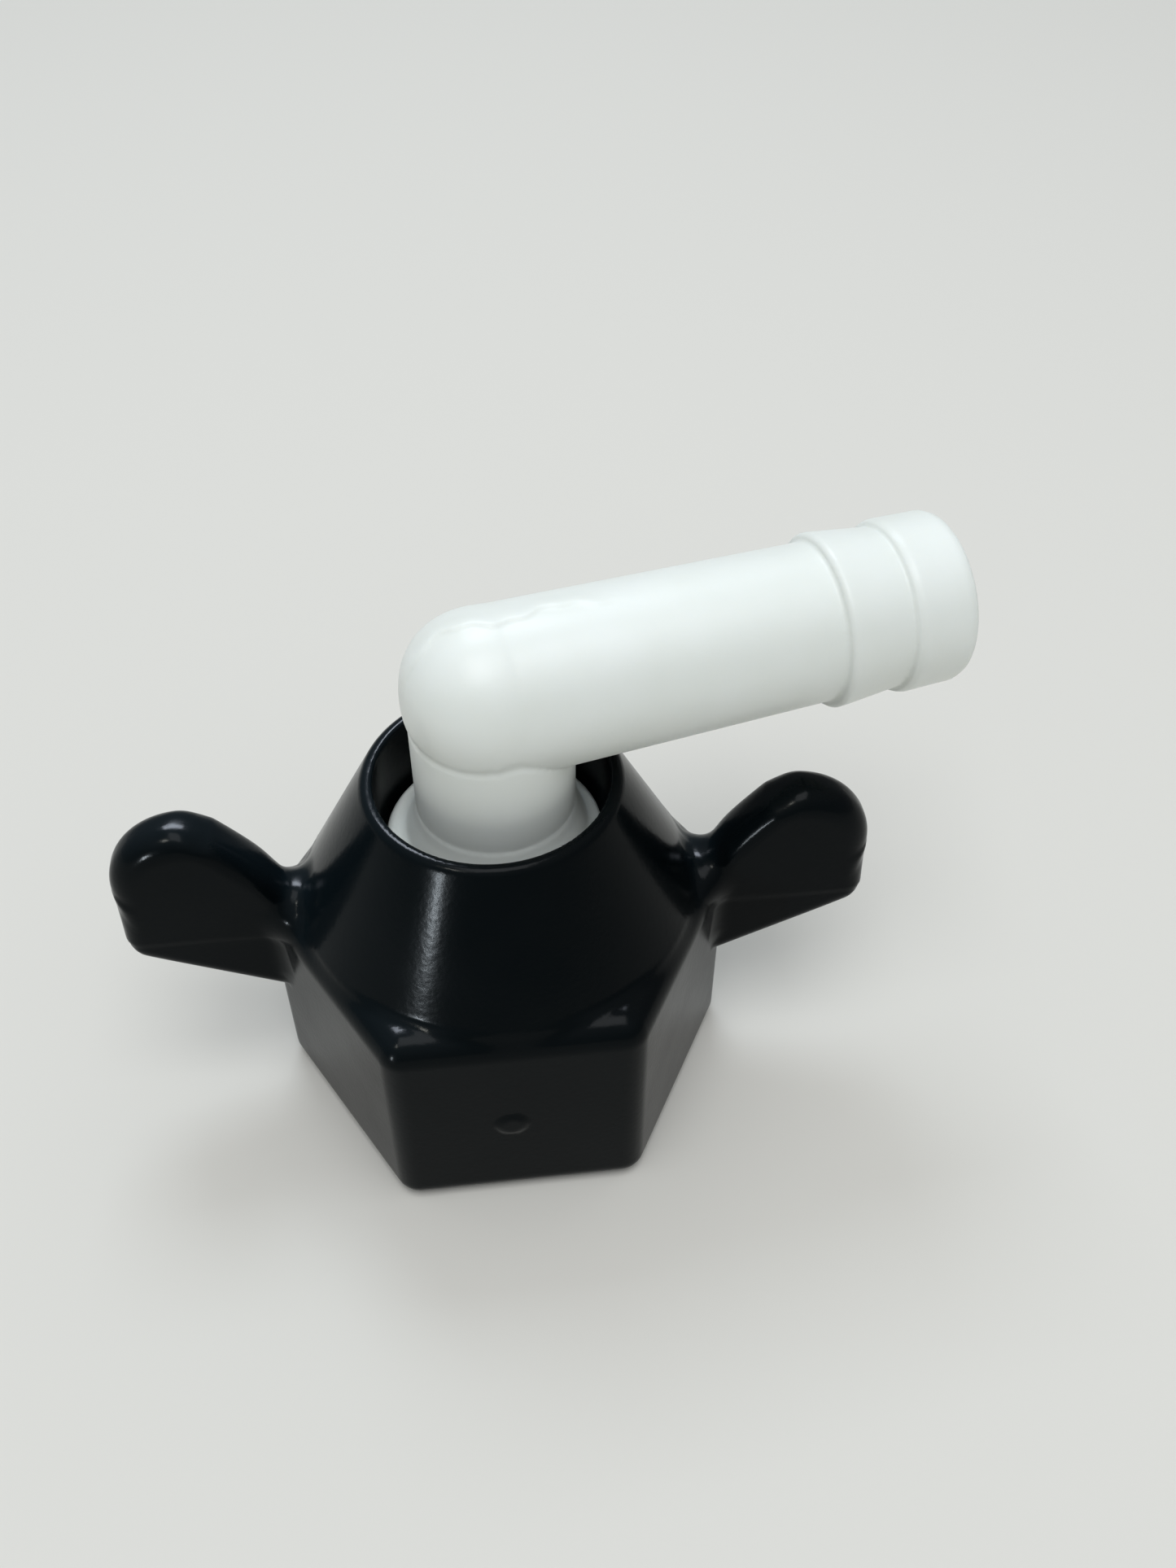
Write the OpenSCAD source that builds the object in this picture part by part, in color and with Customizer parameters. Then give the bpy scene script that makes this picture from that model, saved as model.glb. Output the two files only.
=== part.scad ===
// Swivel wing-nut hose elbow: a barbed 90 degree elbow held in a winged union nut.
// Millimetres. The origin is on the swivel axis at the nut's lower face, +Z runs up the
// elbow's stem and +X along its hose tail. The nut stands turned on the axis by nut_turn.

/* [Wing nut] */
// hexagon width across flats
nut_af = 28; // [22:0.5:36]
// height of the hexagonal prism
nut_hex_h = 17.6; // [14:0.1:24]
// rounding of the hexagon's upright edges
nut_edge_r = 1.6; // [0.5:0.1:2]
// rounding of the hexagon's top and bottom edges
nut_rim_round = 1.2; // [0.3:0.1:1.5]
// nut's resting angle about the swivel axis, in degrees
nut_turn = -12; // [-180:1:180]

/* [Shroud] */
// outer radius of the cone where it meets the hexagon
shroud_base_r = 13.4; // [12:0.1:15]
// outer radius of the cone at its mouth
shroud_mouth_r = 8.55; // [8:0.05:10]
// height of the cone's mouth
shroud_top_z = 27.55; // [24:0.05:32]
// wall thickness at the mouth
shroud_wall = 0.9; // [0.7:0.1:1.5]

/* [Wings] */
// distance from one wing tip to the other
wing_span = 51.6; // [44:0.2:60]
// wing thickness
wing_t = 3.9; // [3:0.1:5]
// height of the wings' crest
wing_top_z = 25.1; // [20:0.1:30]
// radius of the crest's arc
wing_crest_r = 5.45; // [4:0.05:7]

/* [Thread and neck] */
// minor radius of the 1/2-14 parallel pipe thread
thread_r = 9.55; // [9:0.01:10]
// height where the full thread ends
thread_top_z = 9; // [6:0.5:11]
// radius of the plain recess above the thread
recess_r = 9.9; // [9.6:0.1:11]
// height of the shoulder's underside
shoulder_z = 15; // [13:0.1:17]
// thickness of the shoulder that the elbow hangs in
shoulder_t = 3; // [2:0.1:4]
// radius of the hole through the shoulder
neck_r = 6.35; // [6:0.05:7]

/* [Elbow] */
// outer radius of the stem
stem_r = 5.28; // [4.5:0.01:6]
// outer radius of the hose arm at the bend
arm_root_r = 5.45; // [4.5:0.01:6]
// outer radius of the hose arm at the first barb
arm_tip_r = 5.15; // [4.5:0.01:6]
// height of the hose arm's axis
arm_z = 34.27; // [30:0.01:40]
// radius of the flow passage in the hose arm
arm_bore_r = 3.7; // [3:0.05:4]
// radius of the flow passage in the stem
stem_bore_r = 3.6; // [3:0.05:4]
// outer radius of the hub that rests on the shoulder
hub_r = 7.1; // [6.8:0.05:8]
// height of the hub's upper edge
hub_top_z = 22.57; // [20:0.01:26]
// radius of the stem's flared foot where it meets the hub
foot_r = 6.4; // [5.6:0.05:6.9]
// height at which the flare runs out into the stem
foot_top_z = 26.1; // [23.5:0.05:27]

/* [Barbs] */
// distance from the swivel axis to the first barb's step
barb_1_x = 21.8; // [18:0.1:26]
// distance from the swivel axis to the second barb's step
barb_2_x = 26.35; // [23:0.05:30]
// distance from the swivel axis to the hose end
barb_end_x = 30.7; // [27:0.1:36]
// radius of the barbs' steps
barb_r = 5.7; // [5:0.05:6.5]

/* [Nose, ring and seal] */
// radial play between turning parts
turn_play = 0.08; // [0.02:0.01:0.1]
// end play between neighbouring parts
end_play = 0.05; // [0.02:0.01:0.2]
// distance the nut can drop before it meets the ring
float_gap = 0.85; // [0.3:0.05:1.5]
// thickness of the retaining ring
ring_t = 1.8; // [1:0.1:2.5]
// outer radius of the retaining ring
ring_r = 8.9; // [8:0.1:9.3]
// width of the retaining ring's split
ring_split = 2; // [1:0.1:4]
// radius of the groove the ring sits in
groove_r = 5.42; // [4.8:0.02:5.8]
// lower end of the nose
nose_end_z = 9.4; // [9.2:0.1:11]
// upper face of the seal
seal_top_z = 12.1; // [11.5:0.1:12.2]
// outer radius of the seal's upper edge
seal_r = 9; // [8:0.1:9.4]
// outer radius of the seal's lower edge
seal_tip_r = 7; // [6.5:0.1:8]

/* [Hidden] */
$fn = 96;
eps = 0.01;
mouth_chamfer = 0.4;
hex_r = nut_af / sqrt(3);
nose_r = neck_r - turn_play;
shoulder_top_z = shoulder_z + shoulder_t;
hub_bottom_z = shoulder_top_z + end_play;
ring_top_z = shoulder_z - float_gap;
ring_low_z = ring_top_z - ring_t;
groove_top_z = ring_top_z + end_play;
groove_low_z = ring_low_z - end_play;
seal_seat_r = 5.35;
seal_bore_r = 5.3;
bead_r = 5.65;
bead_z = nose_end_z + 0.9;
shroud_floor_r = 7.5;
flank_angle = 50;
flank_foot = [13.9, 18.65];
lip_r = shroud_wall / 2;
lip_z = shroud_top_z - lip_r;
lip_mid_r = shroud_mouth_r - lip_r;
crest_x = wing_span / 2 - wing_crest_r;
crest_z = wing_top_z - wing_crest_r;
gate_z = 8.4;
bend_reach = 2.2;

// Hexagonal outline with rounded corners. A corner points along +X.
module hex_outline(inset = 0) {
    offset(r = nut_edge_r)
        offset(delta = -nut_edge_r - inset)
            circle(r = hex_r, $fn = 6);
}

// The prism, its top and bottom edges eased by two slopes each.
module hex_prism() {
    half = nut_rim_round * 0.3;
    hull() {
        linear_extrude(nut_hex_h)
            hex_outline(nut_rim_round);
        translate([0, 0, half])
            linear_extrude(nut_hex_h - 2 * half)
                hex_outline(half);
        translate([0, 0, nut_rim_round])
            linear_extrude(nut_hex_h - 2 * nut_rim_round)
                hex_outline();
    }
}

// Solid cone, closed by a half-round lip at the mouth.
module shroud_solid() {
    rotate_extrude() {
        polygon([
            [0, nut_hex_h - 3],
            [shroud_base_r, nut_hex_h - 3],
            [shroud_base_r, nut_hex_h],
            [shroud_mouth_r, lip_z],
            [lip_mid_r, lip_z],
            [0, lip_z]
        ]);
        translate([lip_mid_r, lip_z])
            circle(r = lip_r, $fn = 32);
    }
}

// Everything the nut is hollowed by: thread, recess, neck and the tapered well around the hub.
module nut_hollow() {
    rotate_extrude()
        polygon([
            [0, -1],
            [thread_r + mouth_chamfer + 1, -1],
            [thread_r, mouth_chamfer],
            [thread_r, thread_top_z],
            [recess_r, thread_top_z + 0.3],
            [recess_r, shoulder_z],
            [neck_r, shoulder_z],
            [neck_r, shoulder_top_z],
            [shroud_floor_r, shoulder_top_z],
            [lip_mid_r - lip_r, lip_z],
            [lip_mid_r - lip_r, shroud_top_z + 1],
            [0, shroud_top_z + 1]
        ]);
}

// Side view of one wing, from inside the body out to its tip. The crest's inner flank is straight.
module wing_outline() {
    $fn = 32;
    offset(r = 1.2)
        offset(delta = -1.2)
            offset(r = -1)
                offset(delta = 1)
                    union() {
                        polygon([
                            [10.8, 7],
                            [15.6, 9.35],
                            [crest_x + 4.2, 13.9],
                            [wing_span / 2, 14.9],
                            [wing_span / 2, crest_z],
                            [18.5, 23.5],
                            [15.2, 19.8],
                            [14, 18.6],
                            [13, 18.9],
                            [12, 20.3],
                            [11, 20.3]
                        ]);
                        difference() {
                            translate([crest_x, crest_z])
                                circle(r = wing_crest_r);
                            translate(flank_foot)
                                rotate(flank_angle)
                                    square([20, 6]);
                        }
                    }
}

// One wing. Its edge is rounded by layers, each set in as far as a half-round would be.
module wing() {
    half = wing_t / 2;
    rotate([90, 0, 0])
        for (share = [0.4, 0.62, 0.79, 0.92, 1])
            linear_extrude(2 * half * share, center = true)
                offset(delta = -half * (1 - sqrt(1 - pow(share * 0.94, 2))) + 0.22)
                    wing_outline();
}

// Small round mark left by moulding, on the face midway between the wings.
module gate_mark() {
    translate([-0.5, -nut_af / 2 + 0.5, gate_z])
        rotate([90, 0, 0])
            cylinder(r = 1, h = 0.65, $fn = 32);
}

module wing_nut() {
    color([0.03, 0.035, 0.035])
        rotate([0, 0, nut_turn])
            difference() {
                union() {
                    hex_prism();
                    shroud_solid();
                    wing();
                    mirror([1, 0, 0])
                        wing();
                    gate_mark();
                }
                nut_hollow();
            }
}

// Stem, hub and nose. The nose carries the ring groove, the seal's seat and its bead.
module stem_solid() {
    rotate_extrude() {
        polygon([
            [0, nose_end_z],
            [bead_r - 0.4, nose_end_z],
            [bead_r, nose_end_z + 0.4],
            [bead_r, bead_z],
            [seal_seat_r, bead_z + 0.25],
            [seal_seat_r, seal_top_z],
            [nose_r, seal_top_z],
            [nose_r, groove_low_z],
            [groove_r, groove_low_z],
            [groove_r, groove_top_z],
            [nose_r, groove_top_z],
            [nose_r, hub_bottom_z],
            [hub_r - 0.3, hub_bottom_z],
            [hub_r, hub_bottom_z + 0.3],
            [hub_r, hub_top_z - 0.25],
            [hub_r - 0.25, hub_top_z],
            [foot_r + 0.3, hub_top_z + 0.1],
            [foot_r, hub_top_z + 0.4],
            [stem_r, foot_top_z],
            [stem_r, arm_z],
            [0, arm_z]
        ]);
    }
}

// Hose arm along +X with two barbs, and the ball end that closes the bend.
module arm_solid() {
    translate([0, 0, arm_z]) {
        sphere(r = arm_root_r - eps);
        rotate([90, 0, 90])
            rotate_extrude()
                polygon([
                    [0, 0],
                    [arm_root_r, 0],
                    [arm_tip_r, barb_1_x],
                    [barb_r, barb_1_x],
                    [arm_tip_r + 0.12, barb_2_x],
                    [barb_r, barb_2_x],
                    [barb_r, barb_end_x - 0.6],
                    [barb_r - 0.15, barb_end_x - 0.2],
                    [barb_r - 0.45, barb_end_x],
                    [0, barb_end_x]
                ]);
    }
}

// Passage from the nose up the stem and out along the arm.
module flow_passage() {
    translate([0, 0, nose_end_z - 1])
        cylinder(r = stem_bore_r, h = arm_z - nose_end_z + 1 + bend_reach);
    translate([-bend_reach, 0, arm_z])
        rotate([0, 90, 0])
            cylinder(r = arm_bore_r, h = barb_end_x + bend_reach + 1);
}

module barbed_elbow() {
    color([0.86, 0.88, 0.86])
        difference() {
            union() {
                stem_solid();
                arm_solid();
            }
            flow_passage();
        }
}

// Split ring that keeps the nut on the nose.
module retaining_ring() {
    color([0.8, 0.8, 0.76])
        translate([0, 0, ring_low_z])
            difference() {
                cylinder(r = ring_r, h = ring_t);
                translate([0, 0, -1])
                    cylinder(r = groove_r + turn_play, h = ring_t + 2);
                translate([0, -ring_split / 2, -1])
                    cube([ring_r + 1, ring_split, ring_t + 2]);
            }
}

// Soft seal with a tapered face, stretched over the nose below the ring.
module cone_seal() {
    color([0.06, 0.06, 0.06])
        rotate_extrude()
            polygon([
                [seal_bore_r, bead_z + 0.3],
                [bead_r + 0.15, bead_z + 0.1],
                [bead_r + 0.15, nose_end_z],
                [seal_tip_r, nose_end_z],
                [seal_r, seal_top_z - 0.7],
                [seal_r, seal_top_z - end_play],
                [seal_bore_r, seal_top_z - end_play]
            ]);
}

wing_nut();
barbed_elbow();
retaining_ring();
cone_seal();
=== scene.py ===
import math

import bpy
import numpy as np
from mathutils import Matrix, Vector


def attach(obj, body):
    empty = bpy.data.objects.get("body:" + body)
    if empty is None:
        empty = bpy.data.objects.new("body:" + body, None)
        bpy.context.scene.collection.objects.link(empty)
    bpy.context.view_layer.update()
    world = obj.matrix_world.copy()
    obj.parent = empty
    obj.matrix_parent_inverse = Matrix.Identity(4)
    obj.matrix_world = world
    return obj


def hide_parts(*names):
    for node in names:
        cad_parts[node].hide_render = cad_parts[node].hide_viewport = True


# A barbed elbow in a winged union nut. Shapes are signed distances in millimetres, negative inside,
# turned into meshes by wrap() and scaled to metres. The nut is drawn with its wings along X and then
# turned about the swivel axis.

MM = 0.001
NUT_TURN = math.radians(-12)

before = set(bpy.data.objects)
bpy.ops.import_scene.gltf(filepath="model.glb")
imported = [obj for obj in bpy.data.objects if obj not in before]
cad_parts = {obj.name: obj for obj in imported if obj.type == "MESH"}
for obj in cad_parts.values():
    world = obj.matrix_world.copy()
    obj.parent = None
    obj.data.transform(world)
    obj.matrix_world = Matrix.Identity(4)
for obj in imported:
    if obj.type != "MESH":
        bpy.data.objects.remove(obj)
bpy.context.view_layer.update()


# ---- distance tools ----
# A fillet or rounding radius is one number, or an array where it changes from place to place.

def either(a, b, r=0.0):
    """The union of two solids, with a concave fillet of radius r where they meet."""
    if not np.any(r):
        return np.minimum(a, b)
    return np.maximum(r, np.minimum(a, b)) - np.hypot(np.maximum(r - a, 0), np.maximum(r - b, 0))


def both(a, b, r=0.0):
    """What two solids share, with the edge between them rounded to radius r."""
    if not np.any(r):
        return np.maximum(a, b)
    return np.minimum(-r, np.maximum(a, b)) + np.hypot(np.maximum(r + a, 0), np.maximum(r + b, 0))


def without(a, b, r=0.0):
    """Solid a with b cut out of it."""
    return both(a, -b, r)


def slope(u, v, a, b):
    """Distance to the line from a to b in the u, v plane. The solid is on the line's left."""
    du, dv = b[0] - a[0], b[1] - a[1]
    n = math.hypot(du, dv)
    return ((u - a[0]) * dv - (v - a[1]) * du) / n


def outline(u, v, points):
    """Distance to a closed outline given as corner points."""
    best, sign = np.float32(1e9), np.float32(1)
    for (ax, ay), (bx, by) in zip(points, points[1:] + points[:1]):
        ex, ey = bx - ax, by - ay
        wx, wy = u - ax, v - ay
        t = np.clip((wx * ex + wy * ey) / (ex * ex + ey * ey), 0, 1)
        best = np.minimum(best, (wx - ex * t) ** 2 + (wy - ey * t) ** 2)
        up, down = (v >= ay) & (v < by), (v < ay) & (v >= by)
        left = ex * wy > ey * wx
        sign = np.where((up & left) | (down & ~left), -sign, sign)
    return sign * np.sqrt(best)


def slab(v, lo, hi):
    return np.maximum(lo - v, v - hi)


def step_up(v, lo, hi):
    """0 below lo, 1 above hi, smooth between."""
    t = np.clip((v - lo) / (hi - lo), 0, 1)
    return t * t * (3 - 2 * t)


def wrap(name, solid, lo, hi, step, turn=0.0):
    """A mesh of quads around a solid, its corners drawn onto the exact surface."""
    axes = [np.arange(a, b + step, step, dtype=np.float32) for a, b in zip(lo, hi)]
    x, y, z = axes[0][:, None, None], axes[1][None, :, None], axes[2][None, None, :]
    f = np.broadcast_to(solid(x, y, z), [len(a) for a in axes]).astype(np.float32)
    inside = f < 0
    corners = [(i, j, k) for i in (0, 1) for j in (0, 1) for k in (0, 1)]
    full = sum(
        inside[i:i + f.shape[0] - 1, j:j + f.shape[1] - 1, k:k + f.shape[2] - 1].astype(np.uint8)
        for i, j, k in corners
    )
    cells = np.argwhere((full > 0) & (full < 8))
    number = np.full(full.shape, -1, np.int64)
    number[tuple(cells.T)] = np.arange(len(cells))
    total, count = np.zeros(cells.shape), np.zeros(len(cells))
    for a in corners:
        for axis in range(3):
            if a[axis]:
                continue
            b = np.array(a)
            b[axis] = 1
            fa, fb = f[tuple((cells + a).T)], f[tuple((cells + b).T)]
            cut = (fa < 0) != (fb < 0)
            t = np.where(cut, fa / np.where(cut, fa - fb, 1), 0)
            p = np.array(a) + t[:, None] * (b - np.array(a))
            total += np.where(cut[:, None], p, 0)
            count += cut
    v = np.array(lo) + step * (cells + total / count[:, None])
    for _ in range(4):
        v = drawn_in(v, solid, step)
    quads = []
    for axis in range(3):
        o1, o2 = [(1, 2), (2, 0), (0, 1)][axis]
        first = np.take(inside, range(f.shape[axis] - 1), axis)
        second = np.take(inside, range(1, f.shape[axis]), axis)
        at = np.argwhere(first != second)
        at = at[((at > 0) & (at < full.shape))[:, [o1, o2]].all(1)]
        out = first[tuple(at.T)]
        e1, e2 = np.eye(3, dtype=int)[o1], np.eye(3, dtype=int)[o2]
        ring = [number[tuple((at - d).T)] for d in (e1 + e2, e2, 0 * e1, e1)]
        q = np.stack(ring, 1)
        quads.append(np.where(out[:, None], q, q[:, ::-1]))
    quads = np.concatenate(quads)
    quads = quads[(quads >= 0).all(1)]
    c, s = math.cos(turn), math.sin(turn)
    v = v @ np.array([[c, s, 0], [-s, c, 0], [0, 0, 1]])
    mesh = bpy.data.meshes.new(name)
    mesh.vertices.add(len(v))
    mesh.vertices.foreach_set("co", (v * MM).astype(np.float32).ravel())
    mesh.loops.add(quads.size)
    mesh.loops.foreach_set("vertex_index", quads.astype(np.int32).ravel())
    mesh.polygons.add(len(quads))
    mesh.polygons.foreach_set("loop_start", np.arange(0, quads.size, 4, dtype=np.int32))
    mesh.polygons.foreach_set("use_smooth", np.ones(len(quads), bool))
    mesh.update(calc_edges=True)
    mesh.validate()
    obj = bpy.data.objects.new(name, mesh)
    bpy.context.scene.collection.objects.link(obj)
    return obj


def drawn_in(v, solid, step):
    """Each point moved along the slope of the distance onto the surface, by half a step at most."""
    h = 0.02
    x, y, z = v.T
    d = solid(x, y, z)
    g = np.stack([
        solid(x + h, y, z) - solid(x - h, y, z),
        solid(x, y + h, z) - solid(x, y - h, z),
        solid(x, y, z + h) - solid(x, y, z - h),
    ], 1) / (2 * h)
    size = np.maximum((g * g).sum(1), 0.25)
    move = np.clip(d, -step / 2, step / 2) / size
    return v - g * move[:, None]


# ---- wing nut ----

APOTHEM = 14.0
HEX_CORNER_R = 1.8
HEX_H = 17.6
CONE = ((13.38, 17.6), (8.55, 27.1))
MOUTH_Z = 27.55
SHOULDER_Z = 18.0
WELL_R, WELL_MOUTH_R = 7.5, 7.65
NECK_R = 6.35
RECESS_R, RECESS_Z = 9.9, 8.7
GATE_X, GATE_Z, GATE_R, GATE_H = -0.5, 8.4, 0.95, 0.16

THREAD_R = 9.55
THREAD_DEPTH = 1.05
THREAD_H = 9.0
PITCH = 1.814

WING_SHIFT = 0.12
WING_TILT = 0.013
WING_HALF = 1.95
WING_END = 25.57
CREST_X, CREST_Z, CREST_R = 20.2, 19.75, 5.37
PARTING_Z = (15.2, 15.4)


def hexagon(x, y, r):
    """Distance to a hexagon with corners of radius r, one of them on +X."""
    # fold the plane onto the sector beside +Y, then measure to its flat side
    a = APOTHEM - r
    angle = np.arctan2(x, y)
    sector = angle - np.round(angle / (math.pi / 3)) * (math.pi / 3)
    rad = np.hypot(x, y)
    u, v = rad * np.cos(sector) - a, rad * np.abs(np.sin(sector)) - a / math.sqrt(3)
    return np.where(v > 0, np.hypot(u, v), u) - r


def wing(x, y, z):
    """The two wings: flat blades, nearly full-round at the crest, squarer and a little thinner low down."""
    u, z = np.abs(x - WING_SHIFT), z + WING_TILT * x
    # the crests lean a little further than the lower edges do
    z = z + (0.1 + 0.015 * x) * step_up(z, 14, 19)
    crest = np.hypot(u - CREST_X, z - CREST_Z) - CREST_R
    crest = both(crest, slope(u, z, (18.5, 24.5), (13.75, 18.75)), 1.6)
    blade = outline(u, z, [
        (9.8, 6.7), (15.6, 9.3), (27.5, 15.05), (27.5, CREST_Z), (20.3, CREST_Z), (20.3, 23.5),
        (18.5, 23.5), (15.2, 19.7), (13.7, 18.2), (13.0, HEX_H), (9.8, HEX_H),
    ])
    # the end is cut straight, with its lower corner rounded, and runs into the crest's circle
    blade = both(blade, u - WING_END, 1.2 * (1 - step_up(z, 16, 18)))
    flat = either(crest, blade, 0.8 * (1 - step_up(u, 19, 21)))
    low = 1 - step_up(z, *PARTING_Z)
    flat = flat + 0.06 * low
    half = WING_HALF - 0.05 * low
    r = 1.75 - 0.7 * (1 - step_up(z, 13, 19))
    q = np.abs(y) - half + r
    w = flat + r
    return np.hypot(np.maximum(w, 0), np.maximum(q, 0)) + np.minimum(np.maximum(w, q), 0) - r


def thread(x, y, z, rad):
    """Distance to the threaded hole: the space a right-hand male thread fills."""
    turn = np.arctan2(y, x) / (2 * math.pi)
    phase = z / PITCH - turn
    tooth = np.abs(phase - np.round(phase)) * 2
    depth = THREAD_DEPTH * step_up(z, 0.3, 1.3) * (1 - step_up(z, 7.9, 8.9))
    groove = np.clip((0.88 - tooth) / 0.76, 0, 1)
    # scaled down a little, because it rises faster than a true distance on the thread's flanks
    return (rad - THREAD_R - depth * groove) * 0.86


def nut(x, y, z):
    rad = np.hypot(x, y)
    prism = both(hexagon(x, y, HEX_CORNER_R), slab(z, 0, HEX_H), 1.45 + 0.5 * step_up(z, 8, 12))
    cone = slope(rad, z, CONE[0], CONE[1])
    cone = both(both(cone, rad - CONE[0][0]), slab(z, 8, MOUTH_Z), 0.4)
    body = either(prism, cone, 0.5)
    # the fillet around a wing widens from its lower edge up to its saddle
    wing_fillet = 0.15 + 0.75 * step_up(z, 9.5, 12) + 0.9 * step_up(z, 14.5, 18)
    body = either(body, wing(x, y, z), wing_fillet)
    gate_face = slab(y, -(APOTHEM + GATE_H), -13)
    gate = both(np.hypot(x - GATE_X, z - GATE_Z) - GATE_R, gate_face, 0.12)
    body = either(body, gate, 0.25)
    well = slope(rad, z, (WELL_R, SHOULDER_Z), (WELL_MOUTH_R, CONE[1][1]))
    well = both(well, SHOULDER_Z - z, 0.3)
    neck = both(rad - NECK_R, slab(z, 13, 20))
    recess = both(rad - RECESS_R, slab(z, RECESS_Z, 15), 0.3)
    port = both(thread(x, y, z, rad), z - THREAD_H)
    lead_in = slope(rad, z, (10.6, -0.65), (9.3, 0.65))
    hollow = either(either(well, neck), either(recess, either(port, lead_in)))
    return without(body, hollow, 0.25)


# ---- barbed elbow ----

ARM_Z = 34.27
STEM_R, STEM_X = 5.2, 0.2
FOOT, FOOT_TOP_Z = (6.25, 22.4), 25.3
BORE_UP_R, BORE_ALONG_R = 3.6, 3.7
GROOVE_R = 0.07
JOINT_STEP = 0.14


def arm(x, y, z):
    """Hose arm, its two barbs and the ball at the bend."""
    up = z - ARM_Z
    rho = np.hypot(y, up)
    crown = step_up(up, -1, 2)
    n = 2 + 0.2 * crown
    ball = ((np.abs(x) / 5.28) ** n + (rho / (5.45 + 0.05 * crown)) ** n) ** (1 / n) * 5.35 - 5.35
    tube = both(slope(x, rho, (21.9, 5.18), (0, 5.45)), slab(x, 0, 22.2))
    first = outline(x, rho, [
        (21.8, -2), (26.7, -2), (26.7, 5.28), (26.2, 5.28), (22.6, 5.66), (22.1, 5.7), (21.8, 5.5),
    ])
    second = outline(x, rho, [
        (26.35, -2), (30.7, -2), (30.7, 5.1), (30.45, 5.45), (30.0, 5.64), (26.8, 5.7), (26.35, 5.5),
    ])
    barbs = either(first, second, 0.15)
    return either(either(ball, tube), barbs, 0.25)


def elbow(x, y, z):
    rad = np.hypot(x, y)
    from_stem = np.hypot(x - STEM_X, y)
    stem = both(from_stem - STEM_R, slab(z, 10, ARM_Z))
    foot = both(slope(from_stem, z, FOOT, (STEM_R, FOOT_TOP_Z)), slab(z, 20, FOOT_TOP_Z))
    hub = outline(rad, z, [
        (-2, 18.05), (6.85, 18.05), (7.15, 18.3), (7.17, 22.3), (6.95, 22.55), (5.0, 22.8), (-2, 22.8),
    ])
    nose = outline(rad, z, [
        (-2, 9.4), (5.25, 9.4), (5.65, 9.8), (5.65, 10.3), (5.35, 10.55), (5.35, 12.1), (6.27, 12.1),
        (6.27, 12.3), (5.42, 12.3), (5.42, 14.2), (6.27, 14.2), (6.27, 18.2), (-2, 18.2),
    ])
    body = either(either(either(stem, foot, 0.3), hub, 0.6), nose)
    bend = arm(x, y, z)
    # a fine groove runs along the line where the stem meets the bend
    body = without(either(body, bend), np.hypot(stem, bend) - GROOVE_R, 0.04)
    # the mould's joint line along the top: the far half stands a little proud over the bend
    side = y + 0.35 * np.sin(x * 0.9 + 0.6) + 0.12 * np.sin(x * 2.9)
    fade = step_up(z, ARM_Z + 0.5, ARM_Z + 3.5) * (1 - step_up(x, 4, 10))
    body = body - fade * JOINT_STEP * step_up(side, -0.12, 0.12) * (1 - step_up(side, 0.2, 1.8))
    up = both(rad - BORE_UP_R, z - ARM_Z)
    along = both(np.hypot(y, z - ARM_Z) - BORE_ALONG_R, -2.2 - x)
    return without(body, either(up, along), 0.2)


# ---- materials ----

def material(name, color, rough, tint, grain, bump, soft=0.0, gloss=0.5):
    """Moulded plastic or rubber: uneven colour and gloss, and a fine skin."""
    m = bpy.data.materials.new(name)
    m.use_nodes = True
    tree = m.node_tree
    new, link = tree.nodes.new, tree.links.new
    skin = tree.nodes["Principled BSDF"]
    skin.inputs["Specular IOR Level"].default_value = gloss
    place = new("ShaderNodeTexCoord").outputs["Object"]

    def noise(scale, detail):
        n = new("ShaderNodeTexNoise")
        n.inputs["Scale"].default_value = scale
        n.inputs["Detail"].default_value = detail
        link(place, n.inputs["Vector"])
        return n.outputs["Fac"]

    def ranged(source, lo, hi, low=0.3, high=0.7):
        n = new("ShaderNodeMapRange")
        n.inputs["From Min"].default_value = low
        n.inputs["From Max"].default_value = high
        n.inputs["To Min"].default_value = lo
        n.inputs["To Max"].default_value = hi
        link(source, n.inputs["Value"])
        return n.outputs["Result"]

    def mixed(fac, a, b):
        n = new("ShaderNodeMix")
        n.data_type = "RGBA"
        link(fac, n.inputs["Factor"])
        for socket, value in ((n.inputs["A"], a), (n.inputs["B"], b)):
            if isinstance(value, tuple):
                socket.default_value = (*value, 1)
            else:
                link(value, socket)
        return n.outputs["Result"]

    shade = mixed(ranged(noise(180, 3), 0, 1), color, tint)
    gloss_map = ranged(noise(260, 4), rough - grain, rough + grain)
    link(shade, skin.inputs["Base Color"])
    link(gloss_map, skin.inputs["Roughness"])
    bumps = new("ShaderNodeBump")
    bumps.inputs["Strength"].default_value = bump
    bumps.inputs["Distance"].default_value = 0.0001
    link(noise(2600, 2), bumps.inputs["Height"])
    link(bumps.outputs["Normal"], skin.inputs["Normal"])
    if soft:
        skin.inputs["Subsurface Weight"].default_value = soft
        skin.inputs["Subsurface Radius"].default_value = (1.0, 0.9, 0.75)
        skin.inputs["Subsurface Scale"].default_value = 0.002
    return m


def dress(obj, mat):
    obj.data.materials.clear()
    obj.data.materials.append(mat)


black = material(
    "black_plastic", (0.001, 0.002, 0.0025), 0.19, (0.0015, 0.0025, 0.003), 0.03, 0.08, gloss=0.06
)
white = material("white_plastic", (0.80, 0.83, 0.79), 0.38, (0.77, 0.80, 0.75), 0.05, 0.06, soft=0.12)
acetal = material("ring_plastic", (0.62, 0.61, 0.55), 0.42, (0.57, 0.56, 0.50), 0.05, 0.15)
rubber = material("seal_rubber", (0.015, 0.015, 0.015), 0.62, (0.022, 0.022, 0.022), 0.08, 0.4)

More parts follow.
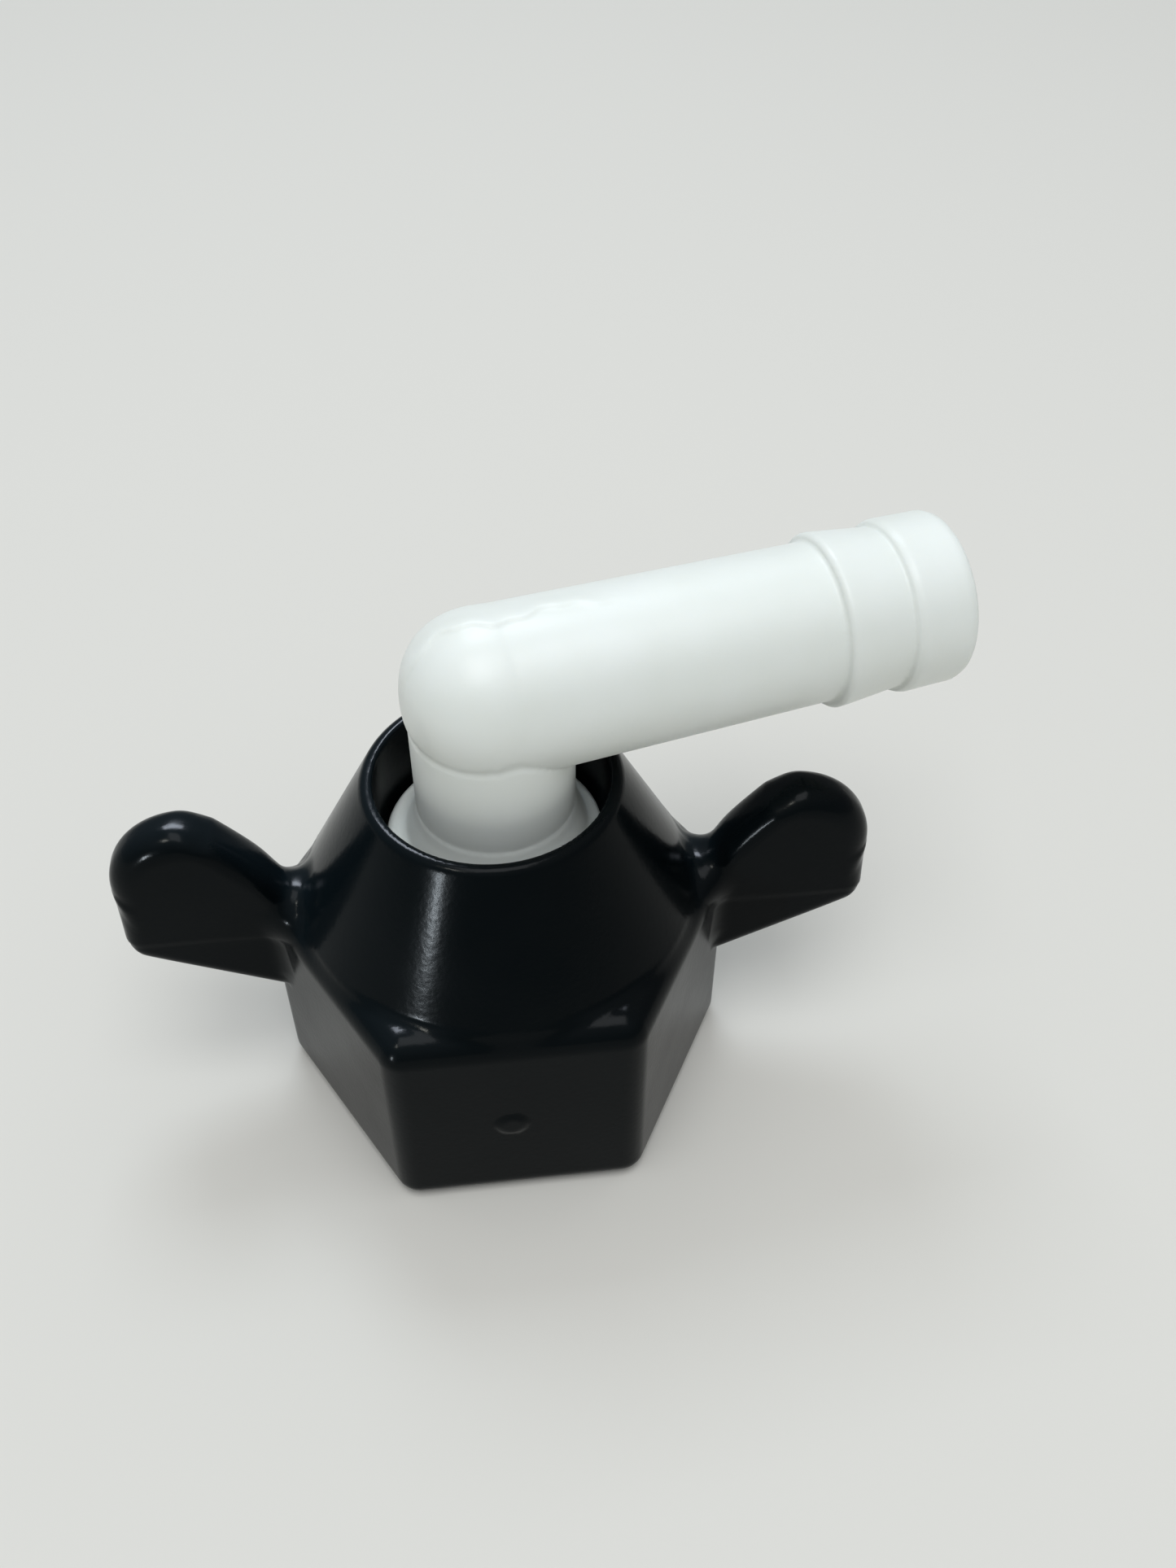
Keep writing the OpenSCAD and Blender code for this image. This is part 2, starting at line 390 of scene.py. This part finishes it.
nut_obj = wrap("wing_nut_skin", nut, (-26.6, -17, -0.6), (26.6, 17, 28.2), 0.25, NUT_TURN)
dress(nut_obj, black)
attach(nut_obj, "nut")
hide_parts("wing_nut")

elbow_obj = wrap("elbow_skin", elbow, (-8, -8, 8.8), (31.4, 8, 40.4), 0.2)
dress(elbow_obj, white)
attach(elbow_obj, "elbow")
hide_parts("barbed_elbow")

dress(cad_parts["retaining_ring"], acetal)
dress(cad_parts["cone_seal"], rubber)

# ---- studio ----

FLOOR_HALF = 9
AIM = (0, 0, 0.02)

floor = bpy.data.objects.new("floor", bpy.data.meshes.new("floor"))
square = [(sx * FLOOR_HALF, sy * FLOOR_HALF, 0) for sx, sy in ((-1, -1), (1, -1), (1, 1), (-1, 1))]
floor.data.from_pydata(square, [], [(0, 1, 2, 3)])
bpy.context.scene.collection.objects.link(floor)
floor.location.z = -0.00002  # just below the nut's lower face
paper = bpy.data.materials.new("paper")
paper.use_nodes = True
paper.node_tree.nodes["Principled BSDF"].inputs["Base Color"].default_value = (0.68, 0.66, 0.61, 1)
paper.node_tree.nodes["Principled BSDF"].inputs["Roughness"].default_value = 0.9
floor.data.materials.append(paper)


def lamp(name, at, target, size, power, color=(1, 1, 1), size_y=None):
    light = bpy.data.lights.new(name, "AREA")
    light.energy, light.color, light.size = power, color, size
    if size_y:
        light.shape, light.size_y = "RECTANGLE", size_y
    o = bpy.data.objects.new(name, light)
    o.location = at
    o.rotation_euler = (Vector(target) - Vector(at)).to_track_quat("-Z", "Y").to_euler()
    bpy.context.scene.collection.objects.link(o)
    return o


def towards(azimuth, elevation, distance):
    """The point that far from the object: azimuth 0 is on the +Y side and 90 on the +X side."""
    a, e = math.radians(azimuth), math.radians(elevation)
    return Vector((math.sin(a) * math.cos(e), math.cos(a) * math.cos(e), math.sin(e))) * distance


lamp("window", towards(8, 59, 0.6), AIM, 0.22, 0.85, (0.80, 0.90, 1.0), 0.17)
lamp("ceiling", towards(-165, 75, 0.6), AIM, 0.34, 1.65, (0.94, 0.97, 1.0), 0.34)
# these three light only the nut
gleams = [
    lamp("gleam_back", towards(6, 60, 0.6), AIM, 0.48, 12, (0.80, 0.87, 1.0), 0.15),
    lamp("gleam_left", towards(-125, 7.4, 0.3), AIM, 0.008, 0.30, (0.84, 0.93, 1.0), 0.040),
    lamp("gleam_top", towards(-125, 52, 0.6), (0, 0, 0.03), 0.05, 0.5, (1.0, 1.0, 0.92), 0.05),
]
shiny = bpy.data.collections.new("shiny")
shiny.objects.link(nut_obj)
for gleam in gleams:
    gleam.light_linking.receiver_collection = shiny

# the room: dim at the horizon, brighter overhead
world = bpy.data.worlds.new("room")
bpy.context.scene.world = world
world.use_nodes = True
tree = world.node_tree
split = tree.nodes.new("ShaderNodeSeparateXYZ")
tree.links.new(tree.nodes.new("ShaderNodeTexCoord").outputs["Generated"], split.inputs["Vector"])
rise = tree.nodes.new("ShaderNodeMapRange")
rise.interpolation_type = "SMOOTHSTEP"
for name, value in (("From Min", 0.2), ("From Max", 0.75), ("To Min", 0.34), ("To Max", 0.62)):
    rise.inputs[name].default_value = value
tree.links.new(split.outputs["Z"], rise.inputs["Value"])
tree.nodes["Background"].inputs["Color"].default_value = (0.94, 0.97, 1.0, 1)
tree.links.new(rise.outputs["Result"], tree.nodes["Background"].inputs["Strength"])
bpy.context.scene.view_settings.view_transform = "Standard"

CAMERA_AT = (-0.01585, -0.06526, 0.09455)
LOOK_AT = (0.00609, -0.00130, 0.02580)
LENS = 33.94
ROLL = math.radians(0.16)

cam = bpy.data.objects.new("camera", bpy.data.cameras.new("camera"))
bpy.context.scene.collection.objects.link(cam)
cam.data.lens, cam.data.sensor_width = LENS, 36
cam.data.clip_start = 0.005
cam.location = CAMERA_AT
turned = (Vector(LOOK_AT) - cam.location).to_track_quat("-Z", "Y").to_matrix()
cam.rotation_euler = (turned @ Matrix.Rotation(ROLL, 3, "Z")).to_euler()
bpy.context.scene.camera = cam
